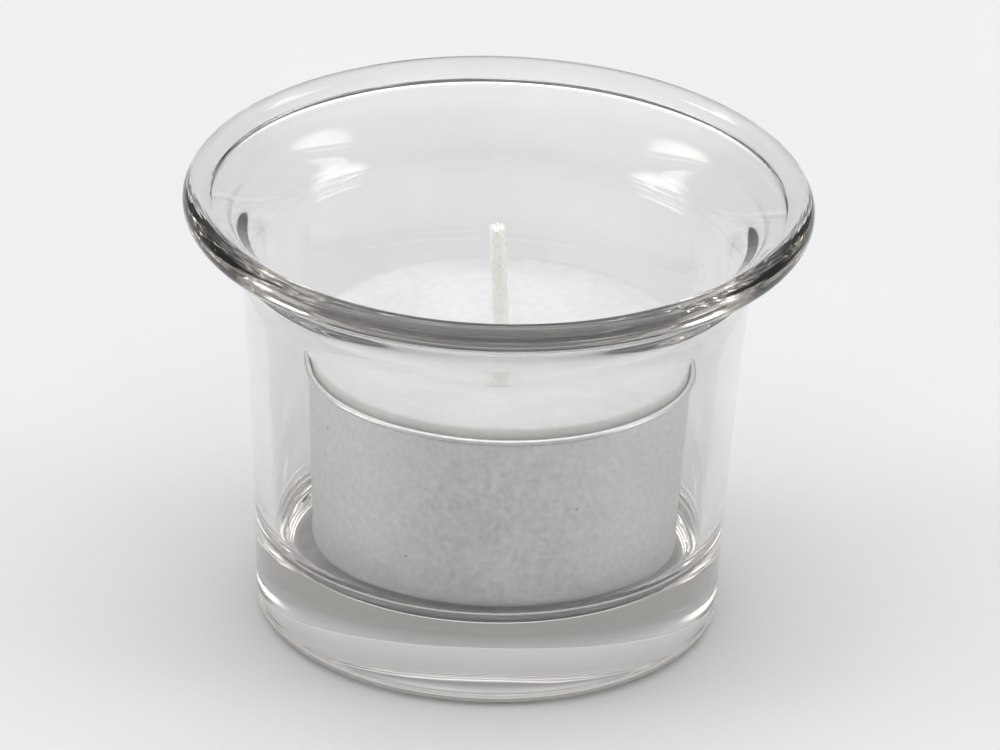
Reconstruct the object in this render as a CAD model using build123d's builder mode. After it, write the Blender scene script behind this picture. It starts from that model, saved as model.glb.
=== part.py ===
from build123d import *
import os

# A flared glass tealight holder with a tealight standing in it. Millimetres, +Z up.
# The origin is the centre of the ring that the glass stands on.
# Half sections are drawn in an XZ plane as (radius, height) and revolved about the upright axis.

os.makedirs("parts", exist_ok=True)

# ---- driving dimensions --------------------------------------------------------------------
tealight_dia = 38.0         # across the hem of a standard tealight
tealight_height = 20.0      # of its taller, long-burning size
tealight_shift = 0.6        # it stands loose in the glass, a little off the axis
glass_height = 45.3
rim_dia = 62.0              # across the lip
neck_dia = 49.9             # outside, where the flare leaves the body
neck_height = 35.0
base_dia = 45.2             # outside, at the heel
wall = 2.5                  # glass thickness at the neck
floor_thickness = 8.0       # solid glass under the tealight

# ---- glass ---------------------------------------------------------------------------------
lip_radius = 0.6 * wall             # the rim is fire-polished into a round bead
lip_slope = 43.0                    # degrees: the inside of the flare leaves the bead this steeply
heel_radius = 1.8                   # round between the side and the resting ring
recess_radius = base_dia / 2 - 3.1  # the underside is a shallow dome inside the resting ring
recess_height = 1.0
side_hollow = 0.25                  # how far the side falls inside a straight line
bore_top_radius = neck_dia / 2 - wall
bore_top_height = neck_height + 2.3
bore_base_radius = base_dia / 2 - 0.72 * wall
bore_corner = 3.6                   # round between the inside wall and the floor
flare_rise = 2.6                    # reach of the outside curve above the neck
flare_reach = 2.0                   # reach of the same curve in from the lip's underside
mouth_rise = 2.2                    # reach of the inside curve above the bore
mouth_reach = 1.8                   # reach of the same curve down from the bead

# ---- tealight cup: one drawn aluminium pressing --------------------------------------------
cup_wall = 0.2
hem_radius = 0.32                   # its edge is rolled outwards into a small bead
hem_centre = tealight_dia / 2 - hem_radius
cup_top_radius = hem_centre - hem_radius + cup_wall
cup_base_radius = cup_top_radius - 0.7
cup_corner = 1.3
panel_radius = 13.0                 # stiffening panel pushed up into the cup's bottom
panel_height = 0.4
panel_step = 0.8                    # width of the slope round the panel

# ---- wax, wick and sustainer ---------------------------------------------------------------
wax_gap = 0.15                      # the pressed puck drops loosely into the cup
wax_above_hem = 1.2                 # and stands a little proud of it
wax_edge = 0.4                      # chamfer on the puck's edges
wick_radius = 0.9
wick_above_wax = 12.5
wick_lean = 3.5                     # degrees from upright, towards -X
wick_bend = 40.0                    # radius of the bend where it leaves the wax
plate_radius = 6.2                  # sustainer plate that keeps the wick upright
plate_thickness = 0.25
neck_tube_wall = 0.25
neck_tube_height = 3.0
slip = 0.05                         # clearance between the parts of the candle

# ---- levels and the candle's own axis ------------------------------------------------------
hem_top = floor_thickness + tealight_height
wax_floor = floor_thickness + panel_height + cup_wall   # the puck stands on the raised panel
wax_top = hem_top + wax_above_hem
candle_plane = Plane(origin=(tealight_shift, 0, 0), x_dir=(1, 0, 0), z_dir=(0, -1, 0))
candle_axis = Axis((tealight_shift, 0, 0), (0, 0, 1))


def cup_radius(height):
    """Outside radius of the cup's tapered side, at any height on that slope."""
    share = (height - floor_thickness) / tealight_height
    return cup_base_radius + (cup_top_radius - cup_base_radius) * share


# ---- glass: one pressed piece --------------------------------------------------------------
with BuildPart() as glass_holder:
    with BuildSketch(Plane.XZ):
        with BuildLine():
            # underside: a shallow dome, then the flat resting ring
            RadiusArc(
                (0, recess_height),
                (recess_radius, 0),
                (recess_radius**2 + recess_height**2) / (2 * recess_height),
            )
            base_corner = (base_dia / 2, 0)
            Line((recess_radius, 0), base_corner)
            # outside: a slightly hollow side, and the flare up to the underside of the lip
            neck = (neck_dia / 2, neck_height)
            waist = ((base_corner[0] + neck[0]) / 2 - side_hollow, neck_height / 2)
            ThreePointArc(base_corner, waist, neck)
            flare_slope = (neck[0] - base_corner[0] + 4 * side_hollow) / neck_height
            lip_under = (rim_dia / 2 - lip_radius, glass_height - 2 * lip_radius)
            Bezier(
                neck,
                (neck[0] + flare_rise * flare_slope, neck_height + flare_rise),
                (lip_under[0] - flare_reach, lip_under[1]),
                lip_under,
            )
            # lip: a round bead that runs over into the slope of the inside
            bead = JernArc(lip_under, (1, 0), lip_radius, 180 + lip_slope)
            # inside: the flare, the tapered wall and the floor
            bore_top = (bore_top_radius, bore_top_height)
            bore_base = (bore_base_radius, floor_thickness)
            bore_slope = (bore_top[0] - bore_base[0]) / (bore_top[1] - bore_base[1])
            Bezier(
                bead @ 1,
                bead @ 1 + (bead % 1) * mouth_reach,
                (bore_top[0] + mouth_rise * bore_slope, bore_top[1] + mouth_rise),
                bore_top,
            )
            Polyline(bore_top, bore_base, (0, floor_thickness), (0, recess_height))
        make_face()
    revolve(axis=Axis.Z)
    circles = glass_holder.edges().filter_by(GeomType.CIRCLE)
    fillet(circles.filter_by_position(Axis.Z, floor_thickness, floor_thickness), bore_corner)
    fillet(circles.group_by(Axis.Z)[0].sort_by(SortBy.RADIUS)[-1], heel_radius)
glass_holder.part.label = "glass_holder"
export_step(glass_holder.part, "parts/glass_holder.step")


# ---- tealight cup: a thin tapered pan with a rolled hem and a raised bottom panel ----------
with BuildPart() as tealight_cup:
    with BuildSketch(candle_plane):
        with BuildLine():
            # the pressing's outer skin, from the middle of the bottom up to the hem
            Polyline(
                (0, floor_thickness + panel_height),
                (panel_radius, floor_thickness + panel_height),
                (panel_radius + panel_step, floor_thickness),
                (cup_base_radius, floor_thickness),
                (cup_top_radius, hem_top - hem_radius),
            )
            offset(amount=cup_wall, side=Side.LEFT)
        make_face()
        with Locations((hem_centre, hem_top - hem_radius)):
            Circle(hem_radius)
    revolve(axis=candle_axis)
    corners = tealight_cup.edges().filter_by(GeomType.CIRCLE)
    outer_corner = corners.filter_by_position(Axis.Z, floor_thickness, floor_thickness)
    inner_corner = corners.filter_by_position(
        Axis.Z, floor_thickness + cup_wall - 0.001, floor_thickness + cup_wall + 0.001
    )
    fillet(outer_corner.sort_by(SortBy.RADIUS)[-1], cup_corner)
    fillet(inner_corner.sort_by(SortBy.RADIUS)[-1], cup_corner - cup_wall)
tealight_cup.part.label = "tealight_cup"
export_step(tealight_cup.part, "parts/tealight_cup.step")


# ---- wax: a puck pressed from paraffin powder, bored for the wick and its sustainer --------
with BuildPart() as wax_fill:
    with BuildSketch(candle_plane):
        with BuildLine():
            puck_base = cup_radius(wax_floor) - cup_wall - wax_gap
            puck_top = cup_radius(wax_top) - cup_wall - wax_gap
            wick_bore = wick_radius + slip
            tube_bore = wick_bore + neck_tube_wall + slip
            tube_seat = wax_floor + plate_thickness + neck_tube_height + slip
            plate_seat = wax_floor + plate_thickness + slip
            Polyline(
                (wick_bore, wax_top),
                (wick_bore, tube_seat),
                (tube_bore, tube_seat),
                (tube_bore, plate_seat),
                (plate_radius + wax_gap, plate_seat),
                (plate_radius + wax_gap, wax_floor),
                (puck_base, wax_floor),
                (puck_top, wax_top),
                close=True,
            )
        make_face()
    revolve(axis=candle_axis)
    rims = wax_fill.edges().filter_by(GeomType.CIRCLE)
    top_rim = rims.group_by(Axis.Z)[-1].sort_by(SortBy.RADIUS)[-1]
    base_rim = rims.group_by(Axis.Z)[0].sort_by(SortBy.RADIUS)[-1]
    chamfer([top_rim, base_rim], wax_edge)
wax_fill.part.label = "wax_fill"
export_step(wax_fill.part, "parts/wax_fill.step")


# ---- sustainer: a stamped steel plate with a neck crimped round the wick -------------------
with BuildPart() as wick_sustainer:
    with BuildSketch(Plane.XY.offset(wax_floor)):
        with Locations((tealight_shift, 0)):
            Circle(plate_radius)
            Circle(wick_radius + slip, mode=Mode.SUBTRACT)
    extrude(amount=plate_thickness)
    with BuildSketch(Plane.XY.offset(wax_floor)):
        with Locations((tealight_shift, 0)):
            Circle(wick_radius + slip + neck_tube_wall)
            Circle(wick_radius + slip, mode=Mode.SUBTRACT)
    extrude(amount=plate_thickness + neck_tube_height)
wick_sustainer.part.label = "wick_sustainer"
export_step(wick_sustainer.part, "parts/wick_sustainer.step")


# ---- wick: upright through the wax, then leaning a little to one side ----------------------
with BuildPart() as wick:
    with BuildLine(candle_plane):
        upright = Line((0, wax_floor + slip), (0, wax_top))
        bend = JernArc((0, wax_top), (0, 1), wick_bend, wick_lean)
        Line(bend @ 1, bend @ 1 + (bend % 1) * (wick_above_wax - bend.length))
    with BuildSketch(Plane.XY.offset(wax_floor + slip)):
        with Locations((tealight_shift, 0)):
            Circle(wick_radius)
    sweep()
wick.part.label = "wick"
export_step(wick.part, "parts/wick.step")
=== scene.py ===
"""Looks of a flared glass tealight holder and the tealight in it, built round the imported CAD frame.

Everything is in metres in the frame's axes. Outlines are half sections, (radius, height) points in
millimetres, which lathe() turns about an upright axis.
"""
import math
import random

import bmesh
import bpy
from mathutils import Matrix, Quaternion, Vector, noise


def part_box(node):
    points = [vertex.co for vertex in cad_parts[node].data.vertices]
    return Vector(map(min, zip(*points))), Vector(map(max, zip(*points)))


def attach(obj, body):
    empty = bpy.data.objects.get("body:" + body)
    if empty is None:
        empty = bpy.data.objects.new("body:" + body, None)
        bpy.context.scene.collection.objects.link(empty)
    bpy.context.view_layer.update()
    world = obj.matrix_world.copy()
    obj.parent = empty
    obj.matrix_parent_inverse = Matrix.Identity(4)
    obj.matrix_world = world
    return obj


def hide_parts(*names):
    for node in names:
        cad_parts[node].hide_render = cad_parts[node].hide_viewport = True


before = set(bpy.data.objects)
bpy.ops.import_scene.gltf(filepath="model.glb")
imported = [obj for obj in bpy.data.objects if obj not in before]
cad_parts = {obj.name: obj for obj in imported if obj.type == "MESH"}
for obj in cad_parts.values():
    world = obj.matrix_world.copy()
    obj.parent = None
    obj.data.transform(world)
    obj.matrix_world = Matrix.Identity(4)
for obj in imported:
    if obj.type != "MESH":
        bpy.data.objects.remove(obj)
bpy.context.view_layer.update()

MM = 0.001
random.seed(7)

# ---- sizes in millimetres: from the frame, and the glass's own outline ------------------------
glass_low, glass_high = (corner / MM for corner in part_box("glass_holder"))
cup_low, cup_high = (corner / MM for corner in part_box("tealight_cup"))
wax_low, wax_high = (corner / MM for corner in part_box("wax_fill"))
plate_low, plate_high = (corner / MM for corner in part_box("wick_sustainer"))
wick_low, wick_high = (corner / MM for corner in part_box("wick"))

GLASS_HEIGHT = glass_high.z
RIM_RADIUS = glass_high.x
FLOOR_HEIGHT = cup_low.z
NECK_RADIUS, NECK_HEIGHT = 24.95, 35.0
BASE_RADIUS, HEEL_RADIUS = 22.6, 1.8
RECESS_RADIUS, RECESS_HEIGHT = BASE_RADIUS - 3.1, 1.0
SIDE_HOLLOW = 0.25
WALL = 2.5
LIP_RADIUS, LIP_SLOPE = 0.6 * WALL, 43.0
BORE_TOP_RADIUS, BORE_TOP_HEIGHT = NECK_RADIUS - WALL, NECK_HEIGHT + 2.3
BORE_BASE_RADIUS, BORE_CORNER = BASE_RADIUS - 0.72 * WALL, 3.6
FLARE_RISE, FLARE_REACH = 2.6, 2.0
MOUTH_RISE, MOUTH_REACH = 2.2, 1.8
GLASS_RIPPLE = 0.05     # how far the pressed wall wanders inwards
LIP_RIDGE = 0.014       # fine rings left on the bead by the fire-polishing burner
LIP_RINGS = 14          # how closely they follow one another, in rings to a radian

CANDLE_X = (cup_low.x + cup_high.x) / 2
HEM_RADIUS = 0.32
HEM_OUTSIDE = (cup_high.x - cup_low.x) / 2
CUP_WALL = 0.2
CUP_CORNER = 1.3
CUP_TOP_RADIUS = HEM_OUTSIDE - 2 * HEM_RADIUS + CUP_WALL
CUP_TAPER = 0.7         # how much narrower the cup is at its bottom
CUP_BASE_RADIUS = CUP_TOP_RADIUS - CUP_TAPER
PANEL_RADIUS, PANEL_HEIGHT, PANEL_STEP = 13.0, 0.4, 0.8
AIR_FILM = 0.03         # the cup touches the glass at a few points only

WAX_TAPER, WAX_EDGE = 0.72, 0.4
WAX_PEBBLE, WAX_DISH = 0.035, 0.08
SLIP = 0.05
WICK_RADIUS = (wick_high.y - wick_low.y) / 2
WICK_LENGTH = wick_high.z - wick_low.z
WICK_BEND, WICK_LEAN = 40.0, math.radians(3.5)
WICK_TAPER = 0.12       # how much thinner the wick is at its top, as a share
YARNS = 8               # in each direction of the braid
YARN_RADIUS = 0.21
BRAID_RADIUS = 0.62     # to the middle of the yarns
WAX_COAT = 0.79         # radius that the wax fills between the yarns
BRAID_PITCH = 9.0       # length of one whole turn of a yarn
TIP_LENGTH = 0.9        # stretch at the top where the yarns come apart
FIBRES = 26             # loose ones at the cut end
PLATE_SHEET, PLATE_EDGE = 0.25, 0.12

# ---- studio and camera ------------------------------------------------------------------------
HORIZON_LIGHT, OVERHEAD_LIGHT = 0.38, 1.9    # strength of the surroundings
DIM_BELOW, FULL_ABOVE = 0.4, 0.95            # sines of the heights between which they brighten
COOL, WARM = (0.98, 0.985, 1.0, 1), (1.0, 0.975, 0.92, 1)
SOFTBOXES = (                                # direction, degrees across, degrees of soft edge, strength
    ((-1.0, -0.15, 0.16), 6.0, 16.0, 7.0),
    ((1.0, -0.15, 0.16), 6.0, 16.0, 6.0),
)
VIEW_HEIGHT, VIEW_ROLL = math.radians(26.7), math.radians(1.84)
VIEW_AIM = Vector((0.66, 0.0, 25.1))         # millimetres
VIEW_DISTANCE = 3.5                          # metres
LENS_PER_METRE = 367.1                       # keeps the picture's size at any distance


# ---- outlines ---------------------------------------------------------------------------------
def line(start, end, steps):
    """Points from start to end, both included."""
    return [tuple(a + (b - a) * i / steps for a, b in zip(start, end)) for i in range(steps + 1)]


def arc(centre, radius, start, end, steps):
    """Points on a circle, between two angles in degrees."""
    angles = [math.radians(start + (end - start) * i / steps) for i in range(steps + 1)]
    return [(centre[0] + radius * math.cos(a), centre[1] + radius * math.sin(a)) for a in angles]


def bezier(a, b, c, d, steps):
    """Points on a cubic curve with the control points a, b, c and d."""
    points = []
    for i in range(steps + 1):
        t = i / steps
        weights = ((1 - t) ** 3, 3 * t * (1 - t) ** 2, 3 * t * t * (1 - t), t ** 3)
        points.append(tuple(sum(w * p[k] for w, p in zip(weights, (a, b, c, d))) for k in (0, 1)))
    return points


def joined(*runs):
    """The runs end to end, without the points that repeat."""
    points = []
    for point in (p for run in runs for p in run):
        if not points or math.dist(point, points[-1]) > 1e-4:
            points.append(point)
    return points


def lathe(name, section, segments, centre_x=0.0, closed=False, shape=None):
    """A mesh turned from a half section. shape(radius, height, angle) may move each point."""
    mesh = bmesh.new()
    rings = []
    for radius, height in section:
        count = 1 if radius < 1e-6 else segments
        ring = []
        for k in range(count):
            angle = 2 * math.pi * k / segments
            r, z = shape(radius, height, angle) if shape else (radius, height)
            x, y = centre_x + r * math.cos(angle), r * math.sin(angle)
            ring.append(mesh.verts.new((x * MM, y * MM, z * MM)))
        rings.append(ring)
    pairs = list(zip(rings, rings[1:])) + ([(rings[-1], rings[0])] if closed else [])
    for low, high in pairs:
        for k in range(segments):
            after = (k + 1) % segments
            corners = (low[k % len(low)], low[after % len(low)])
            corners += (high[after % len(high)], high[k % len(high)])
            mesh.faces.new(list(dict.fromkeys(corners)))
    bmesh.ops.recalc_face_normals(mesh, faces=mesh.faces)
    return finished(name, mesh)


def finished(name, mesh, smooth=True):
    """A linked object from a bmesh."""
    data = bpy.data.meshes.new(name)
    mesh.to_mesh(data)
    mesh.free()
    for face in data.polygons:
        face.use_smooth = smooth
    made = bpy.data.objects.new(name, data)
    bpy.context.scene.collection.objects.link(made)
    return made


# ---- glass ------------------------------------------------------------------------------------
def side_radius(height):
    """Outside radius of the body: a straight taper, slightly hollow."""
    share = height / NECK_HEIGHT
    return BASE_RADIUS + (NECK_RADIUS - BASE_RADIUS) * share - 4 * SIDE_HOLLOW * share * (1 - share)


def glass_section():
    """The glass's half section, from the middle of the underside round to the middle of the floor."""
    dome_radius = (RECESS_RADIUS ** 2 + RECESS_HEIGHT ** 2) / (2 * RECESS_HEIGHT)
    dome_angle = math.degrees(math.asin(RECESS_RADIUS / dome_radius))
    dome = arc((0, RECESS_HEIGHT - dome_radius), dome_radius, 90, 90 - dome_angle, 24)
    heel_centre = (side_radius(HEEL_RADIUS) - HEEL_RADIUS, HEEL_RADIUS)
    ring = line((RECESS_RADIUS, 0), (heel_centre[0], 0), 3)
    heel = arc(heel_centre, HEEL_RADIUS, -90, 0, 14)
    heights = [HEEL_RADIUS + (NECK_HEIGHT - HEEL_RADIUS) * i / 48 for i in range(49)]
    side = [(side_radius(z), z) for z in heights]
    slope = (NECK_RADIUS - BASE_RADIUS + 4 * SIDE_HOLLOW) / NECK_HEIGHT
    lip_centre = (RIM_RADIUS - LIP_RADIUS, GLASS_HEIGHT - LIP_RADIUS)
    lip_under = (lip_centre[0], GLASS_HEIGHT - 2 * LIP_RADIUS)
    flare = bezier(
        (NECK_RADIUS, NECK_HEIGHT),
        (NECK_RADIUS + FLARE_RISE * slope, NECK_HEIGHT + FLARE_RISE),
        (lip_under[0] - FLARE_REACH, lip_under[1]),
        lip_under,
        40,
    )
    lip = arc(lip_centre, LIP_RADIUS, -90, 90 + LIP_SLOPE, 120)
    fall = math.radians(LIP_SLOPE)
    bore_slope = (BORE_TOP_RADIUS - BORE_BASE_RADIUS) / (BORE_TOP_HEIGHT - FLOOR_HEIGHT)
    mouth = bezier(
        lip[-1],
        (lip[-1][0] - MOUTH_REACH * math.cos(fall), lip[-1][1] - MOUTH_REACH * math.sin(fall)),
        (BORE_TOP_RADIUS + MOUTH_RISE * bore_slope, BORE_TOP_HEIGHT + MOUTH_RISE),
        (BORE_TOP_RADIUS, BORE_TOP_HEIGHT),
        56,
    )
    lean = math.atan(bore_slope)
    corner_height = FLOOR_HEIGHT + BORE_CORNER
    corner_centre = (
        BORE_BASE_RADIUS + bore_slope * BORE_CORNER - BORE_CORNER / math.cos(lean),
        corner_height,
    )
    corner = arc(corner_centre, BORE_CORNER, -math.degrees(lean), -90, 16)
    bore = line((BORE_TOP_RADIUS, BORE_TOP_HEIGHT), corner[0], 40)
    floor = line(corner[-1], (0, FLOOR_HEIGHT), 16)
    return joined(dome, ring, heel, side, flare, lip, mouth, bore, corner, floor)


def glass_shape(radius, height, angle):
    """Pressed glass is never quite true: a slow ripple, always inwards, and fine rings on the bead."""
    if height < HEEL_RADIUS or radius < BORE_BASE_RADIUS - BORE_CORNER:
        return radius, height
    spot = Vector((1.6 * math.cos(angle), 1.6 * math.sin(angle), 0.11 * height + 0.3 * radius))
    moved = radius - GLASS_RIPPLE * (0.5 - 0.5 * noise.noise(spot))
    out, up = radius - (RIM_RADIUS - LIP_RADIUS), height - (GLASS_HEIGHT - LIP_RADIUS)
    if math.hypot(out, up) < LIP_RADIUS - 0.01 or out * out + up * up > (LIP_RADIUS + 0.01) ** 2:
        return moved, height
    round_bead = LIP_RINGS * math.atan2(up, out)
    ring = noise.noise(Vector((round_bead, 1.1 * math.cos(angle), 1.1 * math.sin(angle))))
    depth = LIP_RIDGE * (0.5 + 0.5 * ring) / LIP_RADIUS
    return moved - depth * out, height - depth * up


def build_glass():
    glass = lathe("glass_body", glass_section(), 384, shape=glass_shape)
    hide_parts("glass_holder")
    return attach(glass, "glass")


# ---- tealight cup -----------------------------------------------------------------------------
def cup_section():
    """Half section of the drawn cup: the outer skin up to the hem, and back down the inside."""
    bottom, top = FLOOR_HEIGHT + AIR_FILM, cup_high.z
    hem_centre = (HEM_OUTSIDE - HEM_RADIUS, top - HEM_RADIUS)
    outer_corner = arc((CUP_BASE_RADIUS - CUP_CORNER, bottom + CUP_CORNER), CUP_CORNER, -90, 0, 10)
    inner_corner = arc(
        (CUP_BASE_RADIUS - CUP_CORNER, bottom + CUP_CORNER), CUP_CORNER - CUP_WALL, 0, -90, 10
    )
    panel_edge = PANEL_RADIUS + PANEL_STEP
    under = joined(
        line((0, bottom + PANEL_HEIGHT), (PANEL_RADIUS, bottom + PANEL_HEIGHT), 8),
        line((PANEL_RADIUS, bottom + PANEL_HEIGHT), (panel_edge, bottom), 4),
    )
    outside = line(outer_corner[-1], (CUP_TOP_RADIUS, hem_centre[1]), 30)
    hem = arc(hem_centre, HEM_RADIUS, -150, 165, 20)
    inside = line((CUP_TOP_RADIUS - CUP_WALL, hem_centre[1]), inner_corner[0], 30)
    floor = [(r, z + CUP_WALL) for r, z in reversed(under)]
    return joined(under, outer_corner, outside, hem, inside, inner_corner, floor)


def cup_shape(radius, height, angle):
    """Thin foil: faint draw creases up the side and a slightly uneven hem."""
    share = max(0.0, (height - FLOOR_HEIGHT - 2) / (cup_high.z - FLOOR_HEIGHT))
    crease = noise.noise(Vector((9 * math.cos(angle), 9 * math.sin(angle), 0.15 * height)))
    wave = noise.noise(Vector((1.3 * math.cos(angle), 1.3 * math.sin(angle), 5.0)))
    return radius - share * (0.02 * (1 + crease) + 0.06 * (0.5 + 0.5 * wave)), height


def build_cup():
    cup = lathe("aluminium_cup", cup_section(), 256, centre_x=CANDLE_X, shape=cup_shape)
    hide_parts("tealight_cup")
    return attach(cup, "tealight")


# ---- wax, wick and sustainer ------------------------------------------------------------------
def wax_section():
    """Closed half section of the pressed puck, with its bore and the seat for the sustainer."""
    low, high = wax_low.z, wax_high.z
    top_radius = (wax_high.x - wax_low.x) / 2
    base_radius = top_radius - WAX_TAPER
    bore = WICK_RADIUS + SLIP
    tube = bore + PLATE_SHEET + SLIP
    seat = plate_high.z + SLIP
    plate_top = low + PLATE_SHEET + SLIP
    plate = (plate_high.x - plate_low.x) / 2 + PLATE_SHEET
    return joined(
        line((bore, high), (bore, seat), 6),
        line((tube, seat), (tube, plate_top), 4),
        line((plate, plate_top), (plate, low), 2),
        line((base_radius - WAX_EDGE, low), (base_radius, low + WAX_EDGE), 3),
        line((base_radius, low + WAX_EDGE), (top_radius, high - WAX_EDGE), 40),
        arc((top_radius - WAX_EDGE, high - WAX_EDGE), WAX_EDGE, 0, 90, 8),
        line((top_radius - WAX_EDGE, high), (bore, high), 90),
    )


def wax_shape(radius, height, angle):
    """Pressed paraffin beads: a faintly pebbled skin that stays inside the puck's outline."""
    if height < wax_high.z - 0.01 or radius < WICK_RADIUS + 0.3:
        return radius, height
    spot = Vector((radius * math.cos(angle), radius * math.sin(angle), height))
    grain = 0.5 + 0.5 * noise.noise(spot * 1.7)
    dish = 0.5 + 0.5 * noise.noise(spot * 0.12)
    return radius, height - WAX_PEBBLE * grain - WAX_DISH * dish


def build_wax():
    wax = lathe("wax_puck", wax_section(), 256, centre_x=CANDLE_X, closed=True, shape=wax_shape)
    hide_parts("wax_fill")
    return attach(wax, "candle")


def sustainer_section():
    """Closed half section of the stamped plate and its neck."""
    low, high = plate_low.z, plate_high.z
    outside = (plate_high.x - plate_low.x) / 2
    bore = WICK_RADIUS + SLIP
    tube, sheet, edge = bore + PLATE_SHEET, PLATE_SHEET, PLATE_EDGE
    return joined(
        line((bore, low), (outside - edge, low), 24),
        arc((outside - edge, low + edge), edge, -90, 90, 8),
        line((outside - edge, low + sheet), (tube + sheet, low + sheet), 24),
        arc((tube + sheet, low + 2 * sheet), sheet, -90, -180, 6),
        line((tube, low + 2 * sheet), (tube, high - edge / 2), 16),
        arc((tube - edge / 2, high - edge / 2), edge / 2, 0, 90, 4),
        line((bore, high), (bore, low), 20),
    )


def sustainer_shape(radius, height, angle):
    """Four crimps squeeze the neck on to the wick, and shallow ribs stiffen the plate."""
    share = (height - plate_low.z) / (plate_high.z - plate_low.z)
    if radius < WICK_RADIUS + 0.4:
        crimp = max(0.0, math.cos(4 * angle)) ** 2 * math.exp(-((share - 0.7) / 0.18) ** 2)
        return radius - 0.12 * crimp, height
    rib = max(0.0, math.cos(6 * angle)) ** 8 * math.exp(-((radius - 4.2) / 1.0) ** 2)
    return radius, height - (0.06 * rib if share > 0.05 else -0.05 * rib)


def build_sustainer():
    plate = lathe(
        "sustainer_plate", sustainer_section(), 144, centre_x=CANDLE_X, closed=True, shape=sustainer_shape
    )
    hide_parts("wick_sustainer")
    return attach(plate, "candle")


def wick_point(length):
    """The wick's centre line: upright in the wax, a gentle bend, then straight and leaning to -X."""
    upright = wax_high.z - wick_low.z
    beyond = length - upright
    if beyond <= 0:
        return Vector((CANDLE_X, 0, wick_low.z + length))
    turned = min(beyond / WICK_BEND, WICK_LEAN)
    rest = beyond - WICK_BEND * turned
    across = WICK_BEND * (1 - math.cos(turned)) + rest * math.sin(turned)
    up = WICK_BEND * math.sin(turned) + rest * math.cos(turned)
    return Vector((CANDLE_X - across, 0, wax_high.z + up))


def add_tube(mesh, points, radii, sides):
    """A closed round tube along points, added to a bmesh. Points and radii are in millimetres."""
    rings = []
    across = Vector((0, 1, 0))
    for i, point in enumerate(points):
        along = (points[min(i + 1, len(points) - 1)] - points[max(i - 1, 0)]).normalized()
        across = (across - along * across.dot(along)).normalized()
        other = along.cross(across)
        ring = []
        for k in range(sides):
            turn = 2 * math.pi * k / sides
            offset = (across * math.cos(turn) + other * math.sin(turn)) * radii[i]
            ring.append(mesh.verts.new((point + offset) * MM))
        rings.append(ring)
    for low, high in zip(rings, rings[1:]):
        for k in range(sides):
            after = (k + 1) % sides
            mesh.faces.new((low[k], low[after], high[after], high[k]))
    mesh.faces.new(reversed(rings[0]))
    mesh.faces.new(rings[-1])


def taper(length):
    """The wick's size at a distance up it, as a share of its size in the wax."""
    above = max(0.0, length - (wax_high.z - wick_low.z))
    return 1 - WICK_TAPER * above / (wick_high.z - wax_high.z)


def yarn_path(direction, yarn, end, spread, steps=230):
    """Centre points and radii of one yarn, over and under the yarns that cross it."""
    points, radii = [], []
    for i in range(steps + 1):
        length = end * i / steps
        turn = direction * 2 * math.pi * length / BRAID_PITCH + 2 * math.pi * yarn / YARNS
        over = direction * math.cos(YARNS * 2 * math.pi * length / BRAID_PITCH)
        tip = max(0.0, (length - WICK_LENGTH + TIP_LENGTH) / TIP_LENGTH)
        reach = taper(length) * (BRAID_RADIUS + 0.05 * over) + spread * tip * tip
        points.append(wick_point(length) + Vector((reach * math.cos(turn), reach * math.sin(turn), 0)))
        radii.append(taper(length) * YARN_RADIUS * (1 - 0.25 * tip))
    return points, radii


def build_wick():
    """A braid of yarns soaked in wax, a little open and uneven at its cut end."""
    mesh = bmesh.new()
    heights = [(WICK_LENGTH - 0.5) * i / 60 for i in range(61)]
    add_tube(mesh, [wick_point(h) for h in heights], [WAX_COAT * taper(h) for h in heights], 24)
    for direction in (1, -1):
        for yarn in range(YARNS):
            end = WICK_LENGTH - random.uniform(0.3, 0.6)
            add_tube(mesh, *yarn_path(direction, yarn, end, random.uniform(0.02, 0.14)), 7)
    for _ in range(FIBRES):
        add_fibre(mesh)
    wick = finished("braided_wick", mesh)
    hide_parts("wick")
    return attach(wick, "candle")


def add_fibre(mesh):
    """One loose cotton fibre curling out of the cut end."""
    root = wick_point(WICK_LENGTH - random.uniform(0.6, 0.8))
    turn = random.uniform(0, 2 * math.pi)
    outward = Vector((math.cos(turn), math.sin(turn), 0))
    reach, curl = random.uniform(0.1, 0.6), random.uniform(0.0, 0.2)
    rise = Vector((0, 0, random.uniform(0.3, 0.55)))
    points = [root + outward * (reach + curl * t * t) + rise * t for t in (0, 0.25, 0.5, 0.75, 1)]
    add_tube(mesh, points, [0.035, 0.033, 0.03, 0.026, 0.02], 5)


# ---- materials --------------------------------------------------------------------------------
def new_material(name, **inputs):
    """A Principled material with plain values set on the shader's own sockets."""
    made = bpy.data.materials.new(name)
    made.use_nodes = True
    shader = made.node_tree.nodes["Principled BSDF"]
    for socket, value in inputs.items():
        shader.inputs[socket.replace("_", " ")].default_value = value
    return made, made.node_tree, shader


def texture_space(tree, size, stretch=(1, 1, 1)):
    """Object coordinates counted in features of the given size, in millimetres."""
    coordinates = tree.nodes.new("ShaderNodeTexCoord")
    mapping = tree.nodes.new("ShaderNodeMapping")
    mapping.inputs["Scale"].default_value = [s / (size * MM) for s in stretch]
    tree.links.new(coordinates.outputs["Object"], mapping.inputs["Vector"])
    return mapping.outputs["Vector"]


def noise_of(tree, size, detail=2.0, stretch=(1, 1, 1)):
    """Noise between 0 and 1 with features of the given size, in millimetres."""
    node = tree.nodes.new("ShaderNodeTexNoise")
    node.inputs["Scale"].default_value = 1.0
    node.inputs["Detail"].default_value = detail
    tree.links.new(texture_space(tree, size, stretch), node.inputs["Vector"])
    return node.outputs["Fac"]


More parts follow.
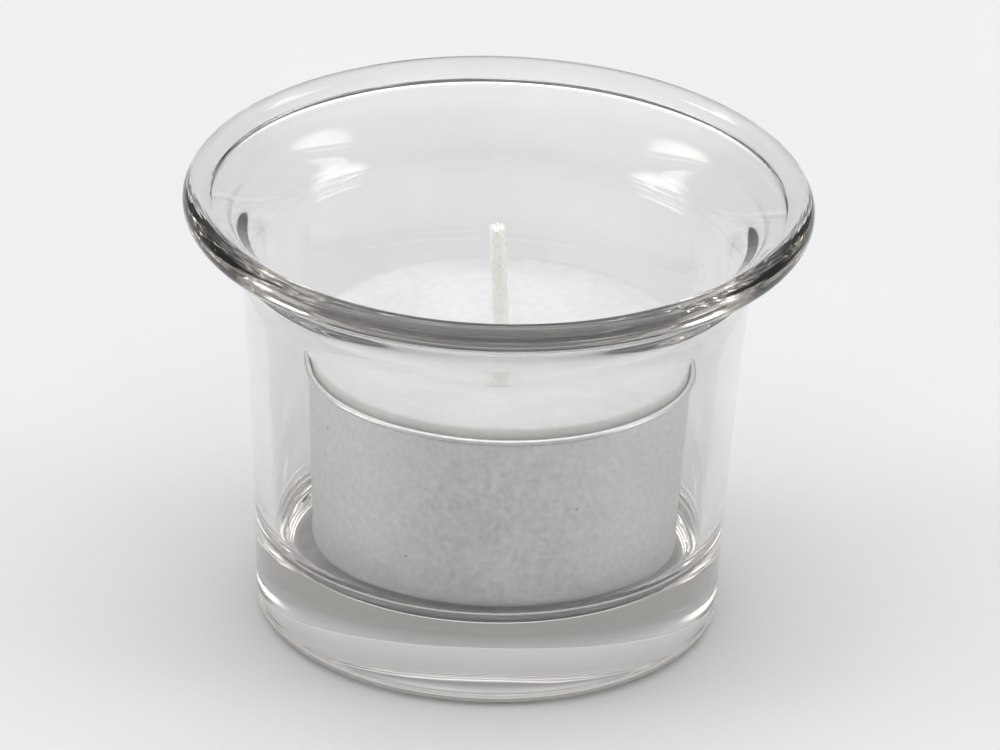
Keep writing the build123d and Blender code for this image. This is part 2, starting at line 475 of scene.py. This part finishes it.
def ramp(tree, value, low, high, start=0.0, end=1.0):
    """A smooth colour or grey ramp over part of a value's range."""
    node = tree.nodes.new("ShaderNodeValToRGB")
    node.color_ramp.interpolation = "EASE"
    for element, position, colour in zip(node.color_ramp.elements, (start, end), (low, high)):
        element.position = position
        element.color = colour if len(colour) == 4 else (*colour, 1)
    tree.links.new(value, node.inputs["Fac"])
    return node.outputs["Color"]


def specks(tree, spacing, size, share, low, high):
    """Sparse round specks: low colour in the specks and high elsewhere."""
    cells = tree.nodes.new("ShaderNodeTexVoronoi")
    cells.inputs["Scale"].default_value = 1.0
    tree.links.new(texture_space(tree, spacing), cells.inputs["Vector"])
    chance = tree.nodes.new("ShaderNodeMath")
    chance.operation = "GREATER_THAN"
    chance.inputs[1].default_value = share
    red = tree.nodes.new("ShaderNodeSeparateColor")
    tree.links.new(cells.outputs["Color"], red.inputs["Color"])
    tree.links.new(red.outputs["Red"], chance.inputs[0])
    total = tree.nodes.new("ShaderNodeMath")
    total.operation = "ADD"
    tree.links.new(cells.outputs["Distance"], total.inputs[0])
    tree.links.new(chance.outputs["Value"], total.inputs[1])
    return ramp(tree, total.outputs["Value"], low, high, 0.6 * size / spacing, size / spacing)


def multiply(tree, first, second):
    """Two colours multiplied."""
    node = tree.nodes.new("ShaderNodeMix")
    node.data_type = "RGBA"
    node.blend_type = "MULTIPLY"
    node.inputs["Factor"].default_value = 1.0
    tree.links.new(first, node.inputs["A"])
    tree.links.new(second, node.inputs["B"])
    return node.outputs["Result"]


def bump(tree, shader, *heights):
    """Stacked bumps: each is (value, depth in millimetres)."""
    normal = None
    for value, depth in heights:
        node = tree.nodes.new("ShaderNodeBump")
        node.inputs["Distance"].default_value = depth * MM
        tree.links.new(value, node.inputs["Height"])
        if normal:
            tree.links.new(normal, node.inputs["Normal"])
        normal = node.outputs["Normal"]
    tree.links.new(normal, shader.inputs["Normal"])


def glass_material():
    made, tree, shader = new_material("clear_glass", Transmission_Weight=1.0, IOR=1.52, Roughness=0.0)
    haze = ramp(tree, noise_of(tree, 9, 4), (0.965, 0.965, 0.965), (1, 1, 1), 0.35, 0.6)
    spots = specks(tree, 4.0, 0.2, 0.3, (0.35, 0.34, 0.32), (0.87, 0.866, 0.856))
    tree.links.new(multiply(tree, haze, spots), shader.inputs["Base Color"])
    bump(tree, shader, (noise_of(tree, 6, 1), 0.01))
    body = tree.nodes.new("ShaderNodeVolumeAbsorption")
    body.inputs["Color"].default_value = (0.64, 0.57, 0.48, 1)
    body.inputs["Density"].default_value = 5.0
    tree.links.new(body.outputs["Volume"], tree.nodes["Material Output"].inputs["Volume"])
    return made


def aluminium_material():
    made, tree, shader = new_material("satin_aluminium", Metallic=1.0)
    tone = ramp(tree, noise_of(tree, 0.6, 6), (0.80, 0.80, 0.815), (0.88, 0.88, 0.895), 0.3, 0.7)
    pits = specks(tree, 2.6, 0.18, 0.25, (0.25, 0.25, 0.25), (1, 1, 1))
    tree.links.new(multiply(tree, tone, pits), shader.inputs["Base Color"])
    rough = ramp(tree, noise_of(tree, 0.8, 3), (0.40, 0.40, 0.40), (0.54, 0.54, 0.54), 0.3, 0.7)
    tree.links.new(rough, shader.inputs["Roughness"])
    bump(
        tree, shader,
        (noise_of(tree, 0.3, 4), 0.02),
        (noise_of(tree, 0.5, 2, (1, 1, 0.06)), 0.008),
        (noise_of(tree, 4, 2), 0.012),
    )
    return made


def wax_material():
    made, tree, shader = new_material(
        "paraffin_wax", Subsurface_Weight=1.0, Subsurface_Scale=0.003, Roughness=0.42, IOR=1.43
    )
    shader.inputs["Subsurface Radius"].default_value = (1.0, 0.9, 0.8)
    mottle = ramp(tree, noise_of(tree, 0.9, 4), (0.73, 0.73, 0.725), (0.77, 0.77, 0.77), 0.3, 0.7)
    cloud = ramp(tree, noise_of(tree, 7, 2), (0.95, 0.95, 0.95), (1, 1, 1), 0.35, 0.65)
    tree.links.new(multiply(tree, mottle, cloud), shader.inputs["Base Color"])
    bump(tree, shader, (noise_of(tree, 0.4, 4), 0.035), (noise_of(tree, 1.4, 1), 0.025))
    return made


def wick_material():
    made, tree, shader = new_material("waxed_cotton", Roughness=0.6)
    streaks = noise_of(tree, 0.12, 3, (1, 1, 0.3))
    fibres = ramp(tree, streaks, (0.90, 0.89, 0.85), (0.97, 0.96, 0.93), 0.3, 0.7)
    tree.links.new(fibres, shader.inputs["Base Color"])
    bump(tree, shader, (noise_of(tree, 0.08, 2, (1, 1, 0.25)), 0.02))
    return made


def steel_material():
    made, tree, shader = new_material("tinned_steel", Metallic=1.0)
    tone = ramp(tree, noise_of(tree, 1.2, 4), (0.60, 0.60, 0.59), (0.72, 0.72, 0.71), 0.3, 0.7)
    tree.links.new(tone, shader.inputs["Base Color"])
    rough = ramp(tree, noise_of(tree, 0.5, 3), (0.26, 0.26, 0.26), (0.42, 0.42, 0.42), 0.3, 0.7)
    tree.links.new(rough, shader.inputs["Roughness"])
    bump(tree, shader, (noise_of(tree, 0.25, 2), 0.006))
    return made


def finish_with(piece, made):
    piece.data.materials.append(made)


# ---- stage, light and camera ------------------------------------------------------------------
def add_floor():
    half, below = 3.0, -0.0001
    data = bpy.data.meshes.new("floor")
    corners = [(-half, -half, below), (half, -half, below), (half, half, below), (-half, half, below)]
    data.from_pydata(corners, [], [(0, 1, 2, 3)])
    floor = bpy.data.objects.new("floor", data)
    bpy.context.scene.collection.objects.link(floor)
    made, tree, shader = new_material("pale_floor", Roughness=0.8)
    tone = ramp(tree, noise_of(tree, 60, 3), (0.675, 0.675, 0.68), (0.695, 0.695, 0.70), 0.3, 0.7)
    tree.links.new(tone, shader.inputs["Base Color"])
    finish_with(floor, made)


def world_step(tree, value, start, end, low, high):
    """A smooth step of one direction component, for the studio's walls."""
    node = tree.nodes.new("ShaderNodeMapRange")
    node.interpolation_type = "SMOOTHSTEP"
    settings = {"From Min": start, "From Max": end, "To Min": low, "To Max": high}
    for socket, number in settings.items():
        node.inputs[socket].default_value = number
    tree.links.new(value, node.inputs["Value"])
    return node.outputs["Result"]


def added(tree, first, second):
    """The sum of two outputs."""
    node = tree.nodes.new("ShaderNodeMath")
    node.operation = "ADD"
    tree.links.new(first, node.inputs[0])
    tree.links.new(second, node.inputs[1])
    return node.outputs["Value"]


def softbox(tree, direction, towards, size, softness, strength):
    """A round soft light far off in one direction: full in the middle, with a soft edge."""
    near = tree.nodes.new("ShaderNodeVectorMath")
    near.operation = "DOT_PRODUCT"
    near.inputs[1].default_value = Vector(towards).normalized()
    tree.links.new(direction, near.inputs[0])
    inner, outer = math.radians(size / 2), math.radians(size / 2 + softness)
    return world_step(tree, near.outputs["Value"], math.cos(outer), math.cos(inner), 0, strength)


def add_world():
    """A studio: white and cool overhead, dimmer and warmer near the horizon, a soft light each side."""
    world = bpy.data.worlds.new("studio")
    bpy.context.scene.world = world
    world.use_nodes = True
    tree = world.node_tree
    background = tree.nodes["Background"]
    direction = tree.nodes.new("ShaderNodeTexCoord").outputs["Generated"]
    split = tree.nodes.new("ShaderNodeSeparateXYZ")
    tree.links.new(direction, split.inputs["Vector"])
    strength = world_step(tree, split.outputs["Z"], DIM_BELOW, FULL_ABOVE, HORIZON_LIGHT, OVERHEAD_LIGHT)
    for settings in SOFTBOXES:
        strength = added(tree, strength, softbox(tree, direction, *settings))
    tree.links.new(strength, background.inputs["Strength"])
    tint = ramp(tree, split.outputs["Z"], WARM, COOL, 0.2, 0.6)
    tree.links.new(tint, background.inputs["Color"])


def add_camera():
    """A very long lens, looking down at the glass and turned very slightly."""
    back = Vector((0, -math.cos(VIEW_HEIGHT), math.sin(VIEW_HEIGHT)))
    data = bpy.data.cameras.new("camera")
    data.sensor_width = 36
    data.lens = LENS_PER_METRE * VIEW_DISTANCE
    data.clip_end = 10
    camera = bpy.data.objects.new("camera", data)
    bpy.context.scene.collection.objects.link(camera)
    camera.location = VIEW_AIM * MM + back * VIEW_DISTANCE
    camera.rotation_mode = "QUATERNION"
    camera.rotation_quaternion = (-back).to_track_quat("-Z", "Y") @ Quaternion((0, 0, 1), VIEW_ROLL)
    bpy.context.scene.camera = camera


finish_with(build_glass(), glass_material())
finish_with(build_cup(), aluminium_material())
finish_with(build_wax(), wax_material())
finish_with(build_wick(), wick_material())
finish_with(build_sustainer(), steel_material())
add_floor()
add_world()
add_camera()

scene = bpy.context.scene
scene.cycles.max_bounces = 32
scene.cycles.transmission_bounces = 32
scene.cycles.glossy_bounces = 16
scene.view_settings.view_transform = "Standard"
